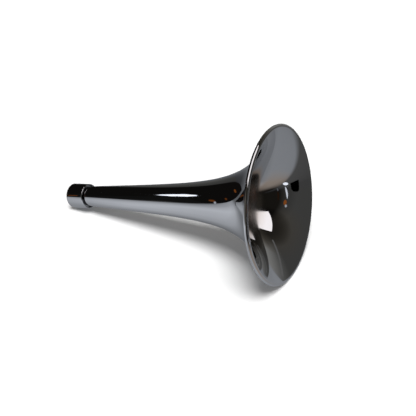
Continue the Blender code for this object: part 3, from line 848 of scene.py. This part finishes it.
# Where one look of the table turns into the next, from and to, in metres
LEFT_TO_RIGHT_X = (0.07, 0.18)
UNDER_RIM_Y = (-0.04, -0.09)
WARM_X = (0.16, 0.2)
WARM_Y = (0.02, -0.07)
TABLE_COOL = (0.955, 1.0, 1.08)
TABLE_WARM = (1.18, 1.0, 0.87)
NEAR_TO_DISTANT = (0.28, 0.6)    # measured from the horn's middle
TABLE_EDGE_AZIMUTH = 63
TABLE_EDGE = (0.31, 0.345)       # measured towards that azimuth
BEYOND_EDGE = (0.34, 0.8)        # over this distance, what the floor beyond the edge adds to
BEYOND_TONES = (0.028, 0.0)      # the room's tone goes from the one to the other

# Tone of the room behind the horizon, by azimuth in degrees clockwise from +Y
ROOM_TONES = (
    (-180, 0.16), (-138, 0.16), (-133, 0.008), (-66, 0.008), (-60, 0.052), (-52, 0.062),
    (-46, 0.085), (-38, 0.125), (-30, 0.17), (-18, 0.21), (0, 0.23), (13, 0.235), (20, 0.17),
    (27, 0.10), (34, 0.06), (100, 0.064), (114, 0.045), (126, 0.010), (150, 0.010),
    (165, 0.05), (180, 0.16),
)
SCREEN_END = (-66, -60)
# How that tone changes with height, as a share of the room's radius: everywhere, and once more
# at azimuths before the end of the corner
HEIGHT_TONES = ((0.0, 1.0), (0.58, 1.03), (0.67, 0.62), (0.74, 0.43), (0.82, 0.3), (1.0, 0.28))
CORNER_TONES = ((0.0, 1.0), (0.38, 1.0), (0.58, 0.45), (0.74, 0.55), (1.0, 0.7))
CORNER_END = (20, 32)
WARM_HEIGHT = (0.35, 0.75)
WARM_AZIMUTH = (112, 128)
ROOM_COOL = (1.0, 1.0, 0.97)
ROOM_WARM = (1.12, 1.0, 0.82)

# Cards that the metal mirrors: corners in metres, or as azimuth and elevation
SOFTBOX = ((-0.2, -0.76, 1.2), (0.84, -0.76, 1.2), (0.68, 0.40, 1.2), (-0.2, 0.40, 1.2))
SOFTBOX_COLOUR, SOFTBOX_STRENGTH = (1.0, 0.96, 0.965), 1.45
SCREEN_CORNER = Vector((-0.218, 0.134, 0.0))
SCREEN_RUN = Vector((-0.788, -0.616, 0.0)) * 4.0
SCREEN_RISE = Vector((0.0, 0.0, 0.8))
SCREEN_COLOUR, SCREEN_STRENGTH = (1.0, 0.92, 0.85), 0.006
COLLAR_REAR = Vector((-0.1463, -0.0135, 0.0221))
COLLAR_FRONT = Vector((-0.1300, -0.0135, 0.0260))
COLLAR_BAR_AZIMUTH, COLLAR_BAR_ELEVATIONS = -130.4, (7.0, 11.0)
COLLAR_BAR_DISTANCE, COLLAR_BAR_STRENGTH = 0.06, 0.2
DARK_CASE = ((97, -8), (99, 1), (101.5, 2.5), (107, 2.5), (110, 0), (110, -7.5))
CASE_BASE = (0.121, 0.061, 0.071)
CASE_DISTANCE = 0.45
BACKDROP_EDGE = ((26.5, 2), (28.5, 2), (39, 46), (36, 46))
BACKDROP_STRENGTH, BACKDROP_DISTANCE = 0.14, 3.0

# Points of the horn from which the lamps are aimed: neck, belly, flare, back of the bell, bell
KEY_BASE = (0.008, -0.014, 0.066)
LEFT_BASE = (0.065, -0.026, 0.077)
MIDDLE_BASE = (0.081, -0.03, 0.087)
RIGHT_BASE = (0.096, -0.035, 0.10)
BELL_BASE = (0.115, 0.053, 0.066)
COOL = (0.86, 0.90, 1.0)
WARM = (1.0, 0.30, 0.06)
LAMP_SIDES = 24
# Lamps: name, azimuth and elevation, width and height, all in degrees, then colour, strength, lean
# in degrees, distance, and the point they are aimed from
LAMPS = (
    ("key_lamp", (-112.0, 27.6), (3.3, 8), COOL, 1.9, -59, 0.4, KEY_BASE),
    ("key_lamp_bar", (-112.0, 27.6), (0.7, 14), COOL, 1.9, -59, 0.41, KEY_BASE),
    ("key_lamp_glow", (-112.3, 27.8), (4.4, 11), COOL, 0.3, -59, 0.42, KEY_BASE),
    ("left_warm_lamp", (-114, 5), (5, 7), WARM, 0.14, 0, 1.0, LEFT_BASE),
    ("left_cool_lamp", (-114.5, -1), (2.4, 7), COOL, 0.5, -25, 1.0, LEFT_BASE),
    ("middle_warm_lamp", (-97, -1.5), (3.5, 5), WARM, 0.12, 0, 0.55, MIDDLE_BASE),
    ("right_warm_lamp", (-75, -5), (4, 6), WARM, 0.18, 0, 0.4, RIGHT_BASE),
    ("standing_lamp", (116.2, 4), (2.8, 16.5), COOL, 1.0, 8, 0.36, BELL_BASE),
    ("standing_lamp_foot", (115.4, -8.2), (8, 4.2), COOL, 1.5, -20, 0.355, BELL_BASE),
    ("standing_lamp_shade", (117.5, 18), (5.5, 7.5), WARM, 0.27, 0, 0.37, BELL_BASE),
    ("standing_lamp_top", (114.5, 22), (4, 4), COOL, 0.5, 0, 0.36, BELL_BASE),
    ("second_lamp", (129.5, -3), (2, 6), COOL, 0.14, 0, 0.6, BELL_BASE),
    ("second_lamp_stem", (130, 9), (1.6, 18), WARM, 0.03, 0, 0.6, BELL_BASE),
)


class Glow(Nodes):
    """A light-giving material for the things that the bright metal mirrors."""

    def __init__(self, name, colour=WHITE, strength=1.0):
        super().__init__(name)
        self.tree.nodes.clear()
        self.light = self.node("Emission", {"Color": (*colour, 1.0), "Strength": strength})
        out = self.tree.nodes.new("ShaderNodeOutputMaterial")
        self.tree.links.new(self.light.outputs[0], out.inputs["Surface"])

    def position(self):
        return self.node("NewGeometry", {}).outputs["Position"]

    def coordinates(self):
        return self.node("SeparateXYZ", {0: self.position()}).outputs

    def azimuth(self, x, y):
        """Azimuth of a point, seen from the horn's middle or, when behind it, from its mouth."""
        behind = self.step(y, *BEHIND_Y)
        shift = self.maths("MULTIPLY", self.step(x, HORN_MIDDLE.x, MOUTH_X), behind)
        shift = self.maths("MULTIPLY", shift, MOUTH_X - HORN_MIDDLE.x)
        across = self.maths("SUBTRACT", x, self.maths("ADD", HORN_MIDDLE.x, shift))
        ahead = self.maths("SUBTRACT", y, HORN_MIDDLE.y)
        return self.maths("MULTIPLY", self.maths("ARCTAN2", across, ahead), 180 / math.pi)

    def distance_along(self, x, y, direction):
        return self.maths("ADD", self.maths("MULTIPLY", x, direction.x),
                          self.maths("MULTIPLY", y, direction.y))

    def multiplied(self, first, *others):
        """Product of colours."""
        for other in others:
            inputs = {0: 1.0, 6: first, 7: other}
            first = self.node("Mix", inputs, data_type="RGBA", blend_type="MULTIPLY").outputs[2]
        return first

    def ramp(self, value, tones):
        """Grey that follows tones: pairs of a value and a brightness, in rising order."""
        low, high = tones[0][0], tones[-1][0]
        made = self.node("ValToRGB", {"Fac": self.step(value, low, high)})
        elements = made.color_ramp.elements
        while len(elements) < len(tones):
            elements.new(1.0)
        for element, (place, tone) in zip(elements, tones):
            element.position = (place - low) / (high - low)
            element.color = (tone, tone, tone, 1.0)
        return made.outputs["Color"]


def stage_mesh(name, corners, material, hidden_from):
    mesh = bpy.data.meshes.new(name)
    mesh.from_pydata(corners, [], [tuple(range(len(corners)))])
    stage_object(name, mesh, material, hidden_from)


def stage_object(name, mesh, material, hidden_from):
    mesh.materials.append(material)
    thing = bpy.data.objects.new(name, mesh)
    bpy.context.scene.collection.objects.link(thing)
    for ray in hidden_from:
        setattr(thing, "visible_" + ray, False)


def bearing(azimuth, elevation=0.0):
    """Direction seen from the horn: azimuth clockwise from +Y, both in degrees."""
    around, up = math.radians(azimuth), math.radians(elevation)
    return Vector((math.sin(around) * math.cos(up), math.cos(around) * math.cos(up), math.sin(up)))


def card(name, corners, colour, strength):
    stage_mesh(name, corners, Glow(name, colour, strength).material, MIRRORED_ONLY)


def far_card(name, corners, colour, strength, distance, base=(0.0, 0.0, 0.0)):
    """Card at a distance, its corners given as azimuth and elevation seen from a base point."""
    places = [Vector(base) + bearing(*corner) * distance for corner in corners]
    card(name, places, colour, strength)


def far_spot(name, centre, size, colour, strength, lean, distance, base):
    """Round or oval lamp at a distance; lean turns it, in degrees."""
    turn = math.radians(lean)
    corners = []
    for side in range(LAMP_SIDES):
        angle = math.tau * side / LAMP_SIDES
        across, up = size[0] / 2 * math.cos(angle), size[1] / 2 * math.sin(angle)
        corners.append((centre[0] + across * math.cos(turn) - up * math.sin(turn),
                        centre[1] + across * math.sin(turn) + up * math.cos(turn)))
    far_card(name, corners, colour, strength, distance, base)


def table_glow():
    """Glowing table top round the horn, with painted light and shade: a pool of light left of the bell, painted
    shadows of the horn and the bell beside them, and darker towards the front on the bell's right; it fades into
    the room behind and ends on the right.
    """
    glow = Glow("table_glow")
    x, y, _ = glow.coordinates()
    under_rim = glow.maths("MULTIPLY", glow.ramp(x, UNDER_RIM_TONES), glow.step(y, *UNDER_RIM_Y))
    lift = glow.maths("ADD", 1.0, under_rim)
    # Painted shadow of the horn beside and behind it on the left; darker towards the front on the right.
    sides = glow.mix(glow.step(x, *LEFT_TO_RIGHT_X), glow.ramp(y, LEFT_SHADOW_TONES),
                     glow.ramp(y, RIGHT_TONES))
    # Along X: a painted pool of light left of the bell and the bell's painted shadow to its right.
    near = glow.multiplied(glow.ramp(x, ALONG_TONES), lift, sides)
    around = glow.azimuth(x, y)
    distant = glow.ramp(around, ROOM_TONES)
    reach = glow.node("VectorMath", {0: glow.position(), 1: HORN_MIDDLE}, operation="DISTANCE")
    far = glow.maths("MULTIPLY", glow.step(reach.outputs["Value"], *NEAR_TO_DISTANT),
                     glow.step(around, *SCREEN_END))
    warm = glow.maths("MULTIPLY", glow.step(x, *WARM_X), glow.step(y, *WARM_Y))
    tint = glow.mix(warm, TABLE_COOL, TABLE_WARM)
    table = glow.multiplied(glow.mix(far, near, distant), tint)
    edge = glow.distance_along(x, y, bearing(TABLE_EDGE_AZIMUTH))
    rest = glow.step(edge, *BEYOND_EDGE, *BEYOND_TONES)
    beyond = glow.node("VectorMath", {0: distant, 1: rest}, operation="ADD").outputs[0]
    glow.put(glow.light, "Color", glow.mix(glow.step(edge, *TABLE_EDGE), table, beyond))
    return glow.material


def build_floor():
    """White floor that the camera sees, and the table top that only the bright metal mirrors."""
    low, high = -FLOOR_REACH, FLOOR_REACH
    square = [(low, low), (high, low), (high, high), (low, high)]
    floor = [(x, y, FLOOR_HEIGHT - FLOOR_GAP) for x, y in square]
    white = Paint("white_floor", (0.87, 0.87, 0.87), 0.9)
    stage_mesh("floor", floor, white.material, ("glossy",))
    table = [(x, y, FLOOR_HEIGHT) for x, y in square]
    stage_mesh("mirrored_table", table, table_glow(), MIRRORED_ONLY)


def room_glow():
    """Dim room, darker and warmer towards its ceiling."""
    glow = Glow("room_glow")
    x, y, z = glow.coordinates()
    up = glow.maths("DIVIDE", z, ROOM_RADIUS)
    around = glow.azimuth(x, y)
    corner = glow.mix(glow.step(around, *CORNER_END), glow.ramp(up, CORNER_TONES), WHITE)
    height = glow.multiplied(glow.ramp(up, HEIGHT_TONES), corner)
    warm = glow.maths("MAXIMUM", glow.step(up, *WARM_HEIGHT), glow.step(around, *WARM_AZIMUTH))
    tint = glow.mix(warm, ROOM_COOL, ROOM_WARM)
    room = glow.multiplied(glow.ramp(around, ROOM_TONES), height, tint)
    glow.put(glow.light, "Color", room)
    return glow.material


def build_rooms():
    """A dim room that only the bright metal mirrors, and a white one that only the camera sees."""
    for name, material, hidden_from in (
        ("mirrored_room", room_glow(), MIRRORED_ONLY),
        ("white_backdrop", Glow("backdrop_glow").material, CAMERA_ONLY),
    ):
        shell = bmesh.new()
        bmesh.ops.create_uvsphere(shell, u_segments=ROOM_SIDES[0], v_segments=ROOM_SIDES[1],
                                  radius=ROOM_RADIUS)
        mesh = bpy.data.meshes.new(name)
        shell.to_mesh(mesh)
        shell.free()
        stage_object(name, mesh, material, hidden_from)


def build_cards():
    """Cards and lamps that give the metal its highlights."""
    card("overhead_softbox", SOFTBOX, SOFTBOX_COLOUR, SOFTBOX_STRENGTH)
    along_floor = SCREEN_CORNER + SCREEN_RUN
    screen = [SCREEN_CORNER, along_floor, along_floor + SCREEN_RISE, SCREEN_CORNER + SCREEN_RISE]
    card("dark_screen", screen, SCREEN_COLOUR, SCREEN_STRENGTH)
    for lamp in LAMPS:
        far_spot(*lamp)
    low, high = [bearing(COLLAR_BAR_AZIMUTH, elevation) * COLLAR_BAR_DISTANCE
                 for elevation in COLLAR_BAR_ELEVATIONS]
    bar = [COLLAR_REAR + low, COLLAR_FRONT + low, COLLAR_FRONT + high, COLLAR_REAR + high]
    card("collar_warm_bar", bar, WARM, COLLAR_BAR_STRENGTH)
    far_card("dark_case", DARK_CASE, WHITE, 0.0, CASE_DISTANCE, CASE_BASE)
    far_card("backdrop_edge", BACKDROP_EDGE, WHITE, BACKDROP_STRENGTH, BACKDROP_DISTANCE)


def build_lights():
    sun = bpy.data.lights.new("soft_sun", "SUN")
    sun.energy = SUN_STRENGTH
    sun.angle = SUN_SIZE
    lamp = bpy.data.objects.new("soft_sun", sun)
    lamp.rotation_euler = SUN_FROM.to_track_quat("Z", "Y").to_euler()
    lamp.visible_glossy = False
    bpy.context.scene.collection.objects.link(lamp)
    world = bpy.data.worlds.new("soft_fill")
    bpy.context.scene.world = world
    world.use_nodes = True
    background = world.node_tree.nodes["Background"]
    background.inputs["Color"].default_value = FILL_COLOUR
    background.inputs["Strength"].default_value = FILL_STRENGTH
    world.cycles_visibility.glossy = False


def build_camera():
    camera = bpy.data.cameras.new("camera")
    camera.lens = LENS
    camera.sensor_width = SENSOR
    holder = bpy.data.objects.new("camera", camera)
    holder.location = CAMERA_PLACE
    holder.rotation_euler = CAMERA_FORWARD.to_track_quat("-Z", "Y").to_euler()
    bpy.context.scene.collection.objects.link(holder)
    bpy.context.scene.camera = holder


build_floor()
build_rooms()
build_cards()
build_lights()
build_camera()
bpy.context.scene.view_settings.view_transform = "Standard"
